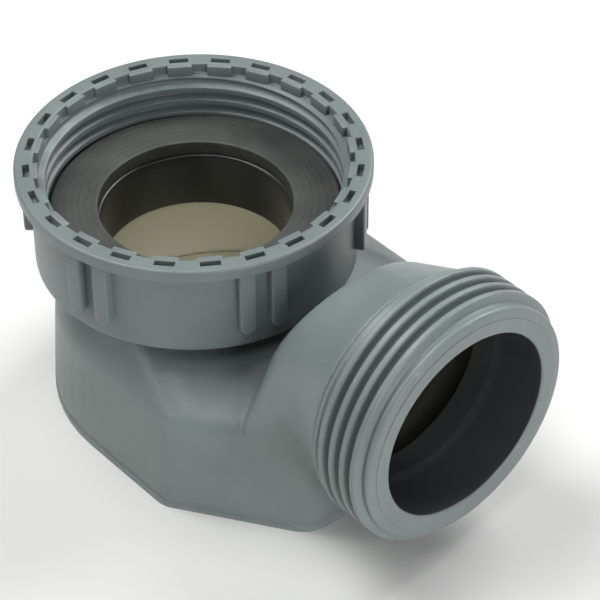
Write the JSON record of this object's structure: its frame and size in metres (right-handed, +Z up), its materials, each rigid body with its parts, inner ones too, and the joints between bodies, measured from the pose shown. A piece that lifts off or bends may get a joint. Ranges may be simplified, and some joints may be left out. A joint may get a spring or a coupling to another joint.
{
  "type": "sink drain elbow",
  "caption": "Moulded sink drain elbow: closed chamber with a threaded side spigot, a captive union nut round the inlet and a flat rubber washer.",
  "frame": {"origin": "on the inlet axis, on the underside of the base plate", "axes": "+Z up along the inlet axis and out of the nut, +X out of the outlet spigot, +Y to the side the outlet axis is offset to"},
  "size_m": [0.1042, 0.0716, 0.0572],
  "materials": {
    "elbow_plastic": "smooth satin moulding",
    "nut_plastic": "smooth satin moulding",
    "washer_rubber": "matt, faintly turned"
  },
  "bodies": {
    "elbow": {"elbow_body": "elbow_plastic", "base_plate": "elbow_plastic", "sealing_washer": "washer_rubber"},
    "nut": {"union_nut": "nut_plastic"}
  },
  "joints": [
    {"name": "nut_spin", "type": "hinge", "parent": "elbow", "child": "nut", "pos_m": [0, 0, 0.043], "axis": [0, 0, 1], "continuous": true}
  ]
}
